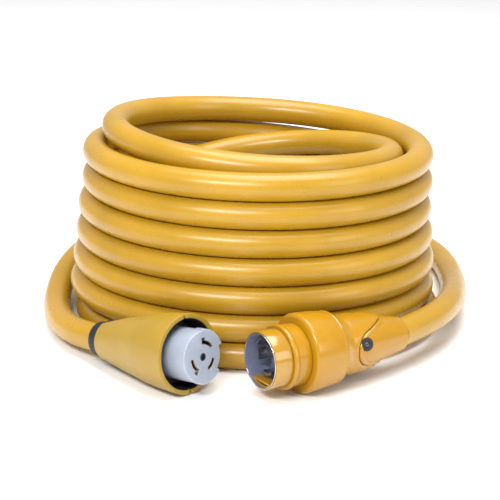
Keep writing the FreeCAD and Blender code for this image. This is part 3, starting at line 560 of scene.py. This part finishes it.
def jaw_skin(sign):
    """Vertices and faces of one jaw: a closed half shell with a rim, a back end and two seam edges."""
    rows, columns = 72, 56
    vertices, faces = [], []
    for i in range(rows + 1):
        z = JAW_L * i / rows
        for inset, order in ((0.0, 1), (jaw_wall(z), -1)):
            wide, high = jaw_half(z, inset)
            edge = asin(min(0.99, jaw_gap(z) / wide))
            for n in range(columns + 1)[::order]:
                angle = edge + (pi - 2 * edge) * n / columns
                vertices.append((sign * wide * sin(angle), high * cos(angle), z))
    size = 2 * (columns + 1)
    for i in range(rows):
        for n in range(size):
            k = (n + 1) % size
            faces.append((i * size + n, i * size + k, (i + 1) * size + k, (i + 1) * size + n))
    for i in (0, rows):
        for n in range(columns):
            a, b = i * size + n, i * size + size - 1 - n
            faces.append((a, a + 1, b - 1, b))
    return vertices, faces


def knuckle_skin(sign, up, level, start):
    """A lug with a round end that reaches from the jaw's skin over the hinge pin."""
    height = KNUCKLE_TOP - (level + 1) * KNUCKLE_T - level * MOVING_GAP
    y0 = height if up > 0 else -height - KNUCKLE_T
    reach = jaw_half(PIVOT_Z, jaw_wall(PIVOT_Z) * 0.5)
    far = reach[0] * sqrt(1 - (max(abs(y0), abs(y0 + KNUCKLE_T)) / reach[1]) ** 2)
    outline = [(far, -KNUCKLE_R), (far, KNUCKLE_R)]
    outline += [(-KNUCKLE_R * sin(pi * n / 12), KNUCKLE_R * cos(pi * n / 12)) for n in range(13)]
    count = len(outline)
    vertices = [(sign * x, y, PIVOT_Z + z) for y in (y0, y0 + KNUCKLE_T) for x, z in outline]
    faces = [tuple(start + n for n in range(count)), tuple(start + count + n for n in range(count))[::-1]]
    faces += [(start + n, start + (n + 1) % count, start + count + (n + 1) % count, start + count + n)
              for n in range(count)]
    return vertices, faces


def make_jaw(name, sign, matrix, material, edge_mm):
    vertices, faces = jaw_skin(sign)
    for up in (1, -1):
        side = 1 if sign > 0 else 0
        more, sides = knuckle_skin(sign, up, side if up > 0 else 1 - side, len(vertices))
        vertices += more
        faces += sides
    piece = solid_piece(name, vertices, faces, matrix, material)
    bevel = piece.modifiers.new("rounded_edges", "BEVEL")
    bevel.limit_method = "ANGLE"
    bevel.angle_limit = radians(50)
    bevel.width = edge_mm * MM
    bevel.segments = 3
    bevel.miter_outer = "MITER_ARC"
    with_modifiers(piece)
    shade(piece.data, 55.0)

    def is_inner(place):
        wide, high = jaw_half(min(max(place.z, 0.0), JAW_L), jaw_wall(place.z) * 0.6)
        return place.z < JAW_L - 1.0 and (place.x / wide) ** 2 + (place.y / high) ** 2 < 1.0
    line_inside(piece, matrix, FINISHES["black_rubber"], is_inner)
    return piece


def curved_leaves(name, leaves, matrix, material):
    """Thin upright strips just inside the slots, each on an arc of (radius, first angle, last angle)."""
    steps = 20
    vertices, faces = [], []
    top = JAW_L + INSERT_PROUD - 0.7
    for radius, first, last in leaves:
        start = len(vertices)
        for n in range(steps + 1):
            angle = first + (last - first) * n / steps
            for r, z in ((radius - LEAF_T / 2, top), (radius + LEAF_T / 2, top),
                         (radius + LEAF_T / 2, top - 3.2), (radius - LEAF_T / 2, top - 3.2)):
                vertices.append(tuple(polar(r, angle, z)))
        for n in range(steps):
            for k in range(4):
                a, b = start + 4 * n + k, start + 4 * n + (k + 1) % 4
                faces.append((a, b, b + 4, a + 4))
        faces += [(start, start + 3, start + 2, start + 1),
                  tuple(start + 4 * steps + k for k in range(4))]
    return solid_piece(name, vertices, faces, matrix, material)


# ---- the plug ------------------------------------------------------------------------------------
def body_radius(z):
    form = [(FLANGE_Z, FLANGE_R - 0.4), (FLANGE_Z + 2, FLANGE_R), (FLANGE_Z + 14, FLANGE_R - 0.6),
            (RIDGE_Z - 8, RIDGE_R + 0.8), (RIDGE_Z, RIDGE_R - 0.8), (RIDGE_Z + 11, WAIST_R + 1.2),
            (RIDGE_Z + 26, WAIST_R - 0.4), (118, 22.5), (136, 18.6), (GRIP_END_Z, GRIP_END_R)]
    return blend(form, min(z, GRIP_END_Z))


# height of the tongue's edge above its middle, and how far behind the nose it is there
TONGUE = [(0.0, 0.0), (3.5, 0.5), (7.2, 2.1), (10.5, 4.6), (13.3, 8.1), (15.2, 12.0), (16.9, 16.9),
          (19.3, 23.0),
          (21.7, 29.3), (23.5, 34.5), (24.5, 37.0)]


def border_z(angle):
    """Where the tongue of the rear grip meets the lobes of the body, at an angle round the plug."""
    return NOSE_Z + blend(TONGUE, abs(TONGUE[-1][0] * sin(angle)))


def round_off(distance, radius):
    """How far a rounded edge falls away at a distance from it."""
    if distance >= radius:
        return 0.0
    return radius - sqrt(radius ** 2 - (radius - distance) ** 2)


def skin_loops(levels, count, rows, form, end):
    """Closed (r, z) loops of a moulded skin: level rows first, then rows that spread out to the border."""
    loops = []
    step = 2 * pi / count
    for i in range(count):
        angle = step * i
        edge = border_z(angle)
        slope = (border_z(angle + step) - border_z(angle - step)) / (2 * step * body_radius(edge))
        lean = 1 / sqrt(1 + slope ** 2)
        last = levels[-1]
        heights = list(levels) + [last + (edge - last) * (n + 1) / rows for n in range(rows)]
        outer = [(form(z, angle, abs(edge - z) * lean), z) for z in heights]
        inner = [(max(r - WALL, CORD_HOLE_R), z) for r, z in outer[:3:-4]]
        loops.append(outer + inner + end)
    return loops


def body_form(z, angle, near):
    """Radius of the body: flange with a round front edge, crisp ridge, two raised lobes with round ends."""
    radius = body_radius(z)
    radius -= round_off(z - FLANGE_Z, 3.0)
    radius += 0.8 * max(0.0, 1 - abs(z - RIDGE_Z + 1.2) / 1.3)
    radius -= 0.9 * smooth((z - RIDGE_Z) / 1.6) * (1 - smooth((z - RIDGE_Z - 5) / 10))
    lobe = smooth((z - RIDGE_Z - 8) / 16) * smooth((abs(sin(angle)) - 0.18) / 0.4)
    radius += (1.0 + 1.3 * smooth((z - RIDGE_Z - 26) / 18)) * lobe
    across = abs(cos(angle - radians(PARTING))) * radius
    radius += 0.14 * smooth(1 - across / 0.9)
    return radius - round_off(near, 2.4) * 1.1


def grip_form(z, angle, near):
    """Radius of the rear grip: a groove at the border, a raised bead behind it, and a round rear end."""
    radius = body_radius(z)
    radius -= round_off(near, 1.4) * 1.3
    radius += 0.75 * smooth(1 - abs(near - 2.6) / 2.0) - 0.35 * smooth(1 - abs(near - 5.4) / 2.2)
    from_lamp = hypot(z - INDICATOR_Z, radius * (angle - radians(180 - INDICATOR_LIFT)))
    if from_lamp < INDICATOR_R + 0.2:
        radius = min(radius, WAIST_R - 1.4)
    return radius - round_off(GRIP_END_Z - z, 2.0)


def make_plug_skins(matrix, material):
    front = [(NECK_R - 1.0, FLANGE_Z + WALL), (NECK_R - 1.0, FLANGE_Z)]
    rear = [(CORD_HOLE_R, GRIP_END_Z)]
    flange = [FLANGE_Z + 3.0 * (1 - cos(pi / 16 * n)) for n in range(8)]
    barrel = [FLANGE_Z + 3.0 + n for n in range(30)]
    ridge = [RIDGE_Z - 3.0 + 0.3 * n for n in range(24)]
    waist = [RIDGE_Z + 4.8 + n for n in range(10)]
    levels = flange + barrel + ridge + waist
    body = swept("plug_body_skin", skin_loops(levels, 256, 56, body_form, front), matrix, material, 60.0)
    end = [GRIP_END_Z - 2.0 * (1 - cos(pi / 12 * n)) for n in range(6)]
    taper = [GRIP_END_Z - 2.0 - n for n in range(22)]
    grip = swept("rear_grip_skin", skin_loops(end + taper, 320, 84, grip_form, rear), matrix, material, 60.0)
    return body, grip


# ---- what repeats, by Geometry Nodes -------------------------------------------------------------
def new_tree(name, inputs):
    """A Geometry Nodes tree with a geometry input and output and named float inputs."""
    tree = bpy.data.node_groups.new(name, "GeometryNodeTree")
    tree.interface.new_socket("Geometry", in_out="INPUT", socket_type="NodeSocketGeometry")
    for label, value in inputs.items():
        socket = tree.interface.new_socket(label, in_out="INPUT", socket_type="NodeSocketFloat")
        socket.default_value = value
    tree.interface.new_socket("Geometry", in_out="OUTPUT", socket_type="NodeSocketGeometry")
    return tree, tree.nodes.new("NodeGroupInput"), tree.nodes.new("NodeGroupOutput")


def grown(name, tree, points, directions, values, material):
    """A plain mesh from a tree that puts one copy on each point, turned to that point's direction."""
    mesh = bpy.data.meshes.new(name)
    mesh.from_pydata([tuple(p) for p in points], [], [])
    way = mesh.attributes.new("direction", "FLOAT_VECTOR", "POINT")
    way.data.foreach_set("vector", [c for d in directions for c in d])
    piece = new_piece(name, mesh, material)
    modifier = piece.modifiers.new(name, "NODES")
    modifier.node_group = tree
    for item in tree.interface.items_tree:
        if item.in_out == "INPUT" and item.name in values:
            modifier[item.identifier] = values[item.name]
    with_modifiers(piece)
    shade(piece.data, 40.0)
    return piece


def finish_tree(tree, group_in, group_out, part, material):
    """Put the part on every point, along the point's direction, and end in plain geometry."""
    way = add(tree, "GeometryNodeInputNamedAttribute", {"Name": "direction"}, data_type="FLOAT_VECTOR")
    turn = add(tree, "FunctionNodeAlignRotationToVector", {"Vector": way.outputs["Attribute"]}, axis="Z")
    placed = add(tree, "GeometryNodeInstanceOnPoints", {"Points": group_in.outputs["Geometry"],
                                                        "Instance": part,
                                                        "Rotation": turn.outputs["Rotation"]})
    real = add(tree, "GeometryNodeRealizeInstances", {"Geometry": placed.outputs["Instances"]})
    painted = add(tree, "GeometryNodeSetMaterial",
                  {"Geometry": real.outputs["Geometry"], "Material": material})
    tree.links.new(painted.outputs["Geometry"], group_out.inputs["Geometry"])


def screw_tree(material):
    """A screw with a slotted round head."""
    tree, group_in, group_out = new_tree("slotted_screws", {
        "Head Radius": 0.0026, "Head Height": 0.0014, "Shank Radius": 0.0014, "Shank Length": 0.018,
        "Slot Width": 0.0008, "Slot Depth": 0.0007})
    sizes = group_in.outputs
    head = add(tree, "GeometryNodeMeshCylinder", {"Vertices": 40, "Radius": sizes["Head Radius"],
                                                  "Depth": sizes["Head Height"]})
    lift = add(tree, "ShaderNodeMath", {0: sizes["Head Height"], 1: -0.5}, operation="MULTIPLY")
    lower = add(tree, "ShaderNodeCombineXYZ", {"Z": lift.outputs[0]})
    head = add(tree, "GeometryNodeTransform",
               {"Geometry": head.outputs["Mesh"], "Translation": lower.outputs[0]})
    wide = add(tree, "ShaderNodeMath", {0: sizes["Head Radius"], 1: 3.0}, operation="MULTIPLY")
    deep = add(tree, "ShaderNodeMath", {0: sizes["Slot Depth"], 1: 2.0}, operation="MULTIPLY")
    bar = add(tree, "ShaderNodeCombineXYZ",
              {"X": wide.outputs[0], "Y": sizes["Slot Width"], "Z": deep.outputs[0]})
    bar = add(tree, "GeometryNodeMeshCube", {"Size": bar.outputs[0]})
    head = add(tree, "GeometryNodeMeshBoolean", {"Mesh 1": head.outputs["Geometry"],
                                                 "Mesh 2": bar.outputs["Mesh"]},
               operation="DIFFERENCE", solver="EXACT")
    shank = add(tree, "GeometryNodeMeshCylinder", {"Vertices": 24, "Radius": sizes["Shank Radius"],
                                                   "Depth": sizes["Shank Length"]})
    drop = add(tree, "ShaderNodeMath", {0: sizes["Shank Length"], 1: -0.5, 2: lift.outputs[0]},
               operation="MULTIPLY_ADD")
    drop = add(tree, "ShaderNodeCombineXYZ", {"Z": drop.outputs[0]})
    shank = add(tree, "GeometryNodeTransform",
                {"Geometry": shank.outputs["Mesh"], "Translation": drop.outputs[0]})
    both = add(tree, "GeometryNodeJoinGeometry")
    tree.links.new(head.outputs["Mesh"], both.inputs[0])
    tree.links.new(shank.outputs["Geometry"], both.inputs[0])
    finish_tree(tree, group_in, group_out, both.outputs[0], material)
    return tree


def spring_tree(material):
    """A torsion spring: round wire wound in a helix, standing on its point."""
    tree, group_in, group_out = new_tree("torsion_springs", {
        "Coil Radius": 0.003, "Wire Radius": 0.00045, "Turns": 1.7, "Height": 0.0018})
    sizes = group_in.outputs
    helix = add(tree, "GeometryNodeCurveSpiral", {
        "Resolution": 32, "Rotations": sizes["Turns"], "Start Radius": sizes["Coil Radius"],
        "End Radius": sizes["Coil Radius"], "Height": sizes["Height"]})
    section = add(tree, "GeometryNodeCurvePrimitiveCircle", {"Resolution": 12, "Radius": sizes["Wire Radius"]})
    wire = add(tree, "GeometryNodeCurveToMesh", {"Curve": helix.outputs["Curve"],
                                                 "Profile Curve": section.outputs["Curve"], "Fill Caps": True})
    finish_tree(tree, group_in, group_out, wire.outputs["Mesh"], material)
    return tree


# ---- settings in the sidebar ---------------------------------------------------------------------
def colour_property(name, text, code):
    return FloatVectorProperty(name=name, description=text, subtype="COLOR", size=3, min=0.0, max=1.0,
                               default=linear(code)[:3])


def length_property(name, text, millimetres):
    return FloatProperty(name=name, description=text, subtype="DISTANCE", unit="LENGTH", min=0.0,
                         default=millimetres * MM, precision=4)


class CordSettings(PropertyGroup):
    diameter: length_property("Diameter", "Outside diameter of the jacket", 26.0)
    segments: IntProperty(name="Smoothness", description="Steps of the tube between control points",
                          default=6, min=2, max=12)


class ColourSettings(PropertyGroup):
    jacket: colour_property("Jacket", "Colour of the cord's jacket", "#b0861f")
    jaw: colour_property("Jaws", "Colour of the connector's jaws", "#9c7c20")
    plug: colour_property("Plug", "Colour of the plug's moulding", "#a97a0a")


class EndSettings(PropertyGroup):
    edge: length_property("Edge rounding", "Rounding of the jaws' edges", 0.6)


class StageSettings(PropertyGroup):
    floor: colour_property("Floor", "Colour of the floor", "#fafafa")
    camera_place: FloatVectorProperty(name="Camera",
                                      description="Where the camera stands from the coil's axis",
                                      subtype="XYZ", size=3, default=(-0.0049, -1.652, 0.538))
    tilt: FloatProperty(name="Tilt", description="Angle of the camera down from the horizon", subtype="ANGLE",
                        unit="ROTATION", default=radians(15.97))
    roll: FloatProperty(name="Roll", description="Turn of the camera about its own axis", subtype="ANGLE",
                        unit="ROTATION", default=radians(1.03))
    focal_length: FloatProperty(name="Focal length", description="Lens of the camera, in mm", default=123.8)


FINISHES = {}


FILL_LIGHT = 0.62               # brightness of the studio all round, against 1 for the white backdrop


# ---- operators -----------------------------------------------------------------------------------
class SHORECORD_OT_finishes(Operator):
    """Make the materials and give every CAD node the one of its slot"""
    bl_idname = "shorecord.finishes"
    bl_label = "Make finishes"

    def execute(self, context):
        FINISHES.update(make_materials(context.scene.shorecord_colours))
        for part in frame["record"]["subparts"]:
            for slot in frame["nodes"][part["node"]].material_slots:
                slot.material = FINISHES[part["material_slot"]]
        return {"FINISHED"}


class SHORECORD_OT_cord(Operator):
    """Lay the cord: from the plug round behind the coil, up its turns, down inside and out to the connector"""
    bl_idname = "shorecord.cord"
    bl_label = "Lay the cord"

    def execute(self, context):
        settings = context.scene.shorecord_cord
        route = [Vector(p) + COIL_AXIS for p in PLUG_TAIL + coil_points() + COIL_EXIT + CONNECTOR_TAIL]
        curve = bpy.data.curves.new("cord", "CURVE")
        curve.dimensions = "3D"
        spline = curve.splines.new("NURBS")
        spline.points.add(len(route) - 1)
        for point, place in zip(spline.points, route):
            point.co = (*place, 1.0)
        spline.order_u = 3
        spline.use_endpoint_u = True
        spline.resolution_u = settings.segments
        curve.bevel_depth = settings.diameter / 2
        curve.bevel_resolution = 8
        curve.use_fill_caps = True
        curve.materials.append(FINISHES["cord_jacket"])
        cord = bpy.data.objects.new("cord", curve)
        context.scene.collection.objects.link(cord)
        settle(cord, "root", "cord_jacket", "cord_coil", "cord_tail_plug", "cord_tail_connector")
        return {"FINISHED"}


class SHORECORD_OT_jaws(Operator):
    """Make the connector's two jaws with their hinge knuckles"""
    bl_idname = "shorecord.jaws"
    bl_label = "Make the jaws"

    def execute(self, context):
        matrix = connector_frame()
        edge = context.scene.shorecord_ends.edge / MM
        for body, sign in (("jaw_near", -1), ("jaw_far", 1)):
            piece = make_jaw(body + "_shell", sign, matrix, FINISHES["jaw_shell"], edge)
            settle(piece, body, "jaw_shell", body)
        return {"FINISHED"}


class SHORECORD_OT_connector_core(Operator):
    """Make the fixed core of the connector: insert, seal, collar and inner body"""
    bl_idname = "shorecord.connector_core"
    bl_label = "Make the connector's core"

    def execute(self, context):
        for node, finish in (("receptacle_insert", "white_insulator"), ("inner_body", "black_rubber"),
                             ("face_seal", "black_rubber"), ("centre_bush", "black_rubber"),
                             ("centre_screw", "steel")):
            settle(refined(node, node + "_skin", FINISHES[finish]), "root", finish, node)
        keel = solid_piece("jaw_keel_skin", *keel_loops(), connector_frame(), FINISHES["black_rubber"])
        settle(keel, "root", "black_rubber")
        leaves = []
        for middle, half in CONTACT_SLOTS:
            for side in (-1, 1):
                leaves.append((CONTACT_R + side * LEAF_AT, middle - half, middle + half))
        piece = curved_leaves("contact_leaves_skin", leaves, connector_frame(), FINISHES["brass_contact"])
        settle(piece, "root", "brass_contact")
        back = -REAR_GAP - COLLAR_L
        collar = rounded([(CORD_HOLE_R - 4, back), (COLLAR_R, back), (COLLAR_R, -REAR_GAP),
                          (CORD_HOLE_R - 4, -REAR_GAP)], 1.6)
        piece = lathe("rear_collar_skin", collar, connector_frame(), FINISHES["black_rubber"])
        settle(piece, "root", "black_rubber", "rear_collar")
        return {"FINISHED"}


class SHORECORD_OT_plug_body(Operator):
    """Make the moulded body and rear grip of the plug"""
    bl_idname = "shorecord.plug_body"
    bl_label = "Make the plug's body"

    def execute(self, context):
        body, grip = make_plug_skins(plug_frame(), FINISHES["plug_moulding"])
        settle(body, "root", "plug_moulding", "plug_body")
        settle(grip, "root", "plug_moulding", "rear_grip")
        return {"FINISHED"}


class SHORECORD_OT_plug_mouth(Operator):
    """Make the plug's shell, sleeve, collar, indicator, blade carrier and polarity key"""
    bl_idname = "shorecord.plug_mouth"
    bl_label = "Make the plug's mouth"

    def execute(self, context):
        matrix = plug_frame()
        shell = rounded([(SHELL_R - SHELL_WALL, 0.0), (SHELL_R, 0.0), (SHELL_R, SHELL_L),
                         (SHELL_R - SHELL_WALL, SHELL_L)], 0.35)
        piece = lathe("metal_shell_skin", shell, matrix, FINISHES["nickel"])
        # the faces inside the shell get the painted reflection: matt slate grey in place of the nickel's dark
        # reflection
        line_inside(piece, matrix, FINISHES["shell_inside"],
                    lambda place: place.z > 0.5 and hypot(place.x, place.y) < SHELL_R - SHELL_WALL / 2)
        settle(piece, "root", "nickel", "metal_shell")
        sleeve = rounded([(SHELL_R + 0.02, LIP), (SLEEVE_R, LIP), (SLEEVE_R, SLEEVE_L),
                          (SHELL_R + 0.02, SLEEVE_L)],
                         0.4)
        settle(lathe("shell_sleeve_skin", sleeve, matrix, FINISHES["sleeve"]), "root", "plug_moulding",
               "shell_sleeve")
        bead_end = SLEEVE_L + BEAD_L
        collar = rounded([(SHELL_R + 0.02, SLEEVE_L + 0.02), (BEAD_R, SLEEVE_L + 0.02), (BEAD_R, bead_end),
                          (NECK_R, bead_end + 1.2), (NECK_R - 0.4, FLANGE_Z - 0.02),
                          (SHELL_R + 0.02, FLANGE_Z - 0.02)],
                         1.5)
        settle(lathe("plug_collar_skin", collar, matrix, FINISHES["plug_moulding"]), "root", "plug_moulding",
               "plug_collar")
        for node, finish in (("blade_carrier", "grey_insulator"), ("polarity_key", "plug_moulding")):
            settle(refined(node, node + "_skin", FINISHES[finish]), "root", finish, node)
        look = matrix.to_3x3() @ polar(1, 180 - INDICATOR_LIFT)
        eye = local_frame(matrix @ Vector((0, 0, INDICATOR_Z)), look)
        face = WAIST_R + 0.75
        bezel = rounded([(LENS_R, face - 8), (INDICATOR_R, face - 8), (INDICATOR_R, face),
                         (LENS_R + 0.5, face - 0.5), (LENS_R, face - 1.6)], 0.8)
        settle(lathe("indicator_bezel_skin", bezel, eye, FINISHES["black_rubber"], 96), "root", "black_rubber",
               "indicator_bezel")
        dome = [(0.0, face - 4)] + [(LENS_R - 0.02, face - 4)]
        dome += [((LENS_R - 0.02) * cos(pi / 16 * n), face - 1.5 + 0.7 * sin(pi / 16 * n)) for n in range(9)]
        settle(lathe("indicator_lens_skin", dome, eye, FINISHES["lens"], 64), "root", "lens", "indicator_lens")
        return {"FINISHED"}


class SHORECORD_OT_small_metal(Operator):
    """Make the slotted screws of the blade carrier and the two springs on the hinge pins"""
    bl_idname = "shorecord.small_metal"
    bl_label = "Make screws and springs"

    def execute(self, context):
        matrix = plug_frame()
        turn = matrix.to_3x3().normalized()
        points = [matrix @ polar(RIVET_RING_R, a, CARRIER_FACE_Z - 1.4) for a in RIVETS]
        tree = screw_tree(FINISHES["steel"])
        screws = grown("carrier_screws_skin", tree, points, [turn @ Vector((0, 0, -1))] * len(points), {},
                       FINISHES["steel"])
        settle(screws, "root", "steel", "carrier_screws")
        matrix = connector_frame()
        turn = matrix.to_3x3().normalized()
        points = [matrix @ Vector((0, up * (PIVOT_HALF + 0.6), PIVOT_Z)) for up in (1, -1)]
        springs = grown("jaw_springs_skin", spring_tree(FINISHES["steel"]), points,
                        [turn @ Vector((0, up, 0)) for up in (1, -1)], {}, FINISHES["steel"])
        settle(springs, "root", "steel", "jaw_springs")
        return {"FINISHED"}


class SHORECORD_OT_stage(Operator):
    """Set the floor, the soft lights and the camera"""
    bl_idname = "shorecord.stage"
    bl_label = "Set the stage"

    def execute(self, context):
        settings = context.scene.shorecord_stage
        scene = context.scene
        scene.view_settings.view_transform = "Standard"
        floor_mesh = bpy.data.meshes.new("floor")
        far = 12.0
        floor_mesh.from_pydata([(-far, -far, 0), (far, -far, 0), (far, far, 0), (-far, far, 0)],
                               [], [(0, 1, 2, 3)])
        floor = new_piece("floor", floor_mesh, moulded("painted_floor", hex_of(settings.floor),
                                                       "#f7f7f7", 900.0,
                                                       30.0, 0.02, (0.6, 0.7)))
        world = bpy.data.worlds.new("studio")
        world.use_nodes = True
        backdrop = world.node_tree.nodes["Background"]
        backdrop.inputs["Color"].default_value = (1.0, 1.0, 1.0, 1.0)
        seen = add(world.node_tree, "ShaderNodeLightPath").outputs["Is Camera Ray"]
        strength = add(world.node_tree, "ShaderNodeMapRange",
                       {"Value": seen, "To Min": FILL_LIGHT, "To Max": 1.0})
        world.node_tree.links.new(strength.outputs["Result"], backdrop.inputs["Strength"])
        scene.world = world
        for name, place, aim, size, power in (
                ("key", (-0.7, -1.8, 1.5), (0.0, -0.1, 0.08), (1.3, 0.30), 46.0),
                ("top", (0.2, 0.1, 2.2), (0.0, 0.0, 0.0), (1.8, 1.8), 66.0),
                ("fill", (1.8, -1.2, 0.9), (0.05, 0.0, 0.08), (1.0, 1.0), 10.0)):
            light = bpy.data.lights.new(name, "AREA")
            light.shape = "RECTANGLE"
            light.size, light.size_y = size
            light.energy = power
            lamp = bpy.data.objects.new(name, light)
            lamp.location = COIL_AXIS + Vector(place)
            way = Vector(aim) - Vector(place)
            lamp.rotation_euler = way.to_track_quat("-Z", "Y").to_euler()
            scene.collection.objects.link(lamp)
        lens = bpy.data.cameras.new("camera")
        lens.lens = settings.focal_length
        lens.sensor_width = 36.0
        lens.clip_end = 50.0
        camera = bpy.data.objects.new("camera", lens)
        place = COIL_AXIS + Vector(settings.camera_place)
        camera.matrix_world = (Matrix.Translation(place) @ Matrix.Rotation(pi / 2 - settings.tilt, 4, "X")
                               @ Matrix.Rotation(settings.roll, 4, "Z"))
        scene.collection.objects.link(camera)
        scene.camera = camera
        return {"FINISHED"}


OPERATORS = (SHORECORD_OT_finishes, SHORECORD_OT_stage, SHORECORD_OT_cord, SHORECORD_OT_jaws,
             SHORECORD_OT_connector_core, SHORECORD_OT_plug_body, SHORECORD_OT_plug_mouth,
             SHORECORD_OT_small_metal)
SETTINGS = {"shorecord_cord": CordSettings, "shorecord_colours": ColourSettings, "shorecord_ends": EndSettings,
            "shorecord_stage": StageSettings}


class SHORECORD_PT_panel(Panel):
    """The pieces of the shore power cord, in the order in which they are made"""
    bl_idname = "SHORECORD_PT_panel"
    bl_label = "Shore cord"
    bl_space_type = "VIEW_3D"
    bl_region_type = "UI"
    bl_category = "Shore cord"

    def draw(self, context):
        for group in SETTINGS:
            settings = getattr(context.scene, group)
            for name in settings.bl_rna.properties.keys():
                if name not in ("rna_type", "name"):
                    self.layout.prop(settings, name)
        for operator in OPERATORS:
            self.layout.operator(operator.bl_idname)


def register():
    for cls in (*SETTINGS.values(), *OPERATORS, SHORECORD_PT_panel):
        bpy.utils.register_class(cls)
    for name, cls in SETTINGS.items():
        setattr(bpy.types.Scene, name, PointerProperty(type=cls))


def unregister():
    for name in SETTINGS:
        delattr(bpy.types.Scene, name)
    for cls in (SHORECORD_PT_panel, *OPERATORS[::-1], *list(SETTINGS.values())[::-1]):
        bpy.utils.unregister_class(cls)


def main():
    register()
    for operator in OPERATORS:
        group, action = operator.bl_idname.split(".")
        getattr(getattr(bpy.ops, group), action)()


if __name__ == "__main__":
    main()
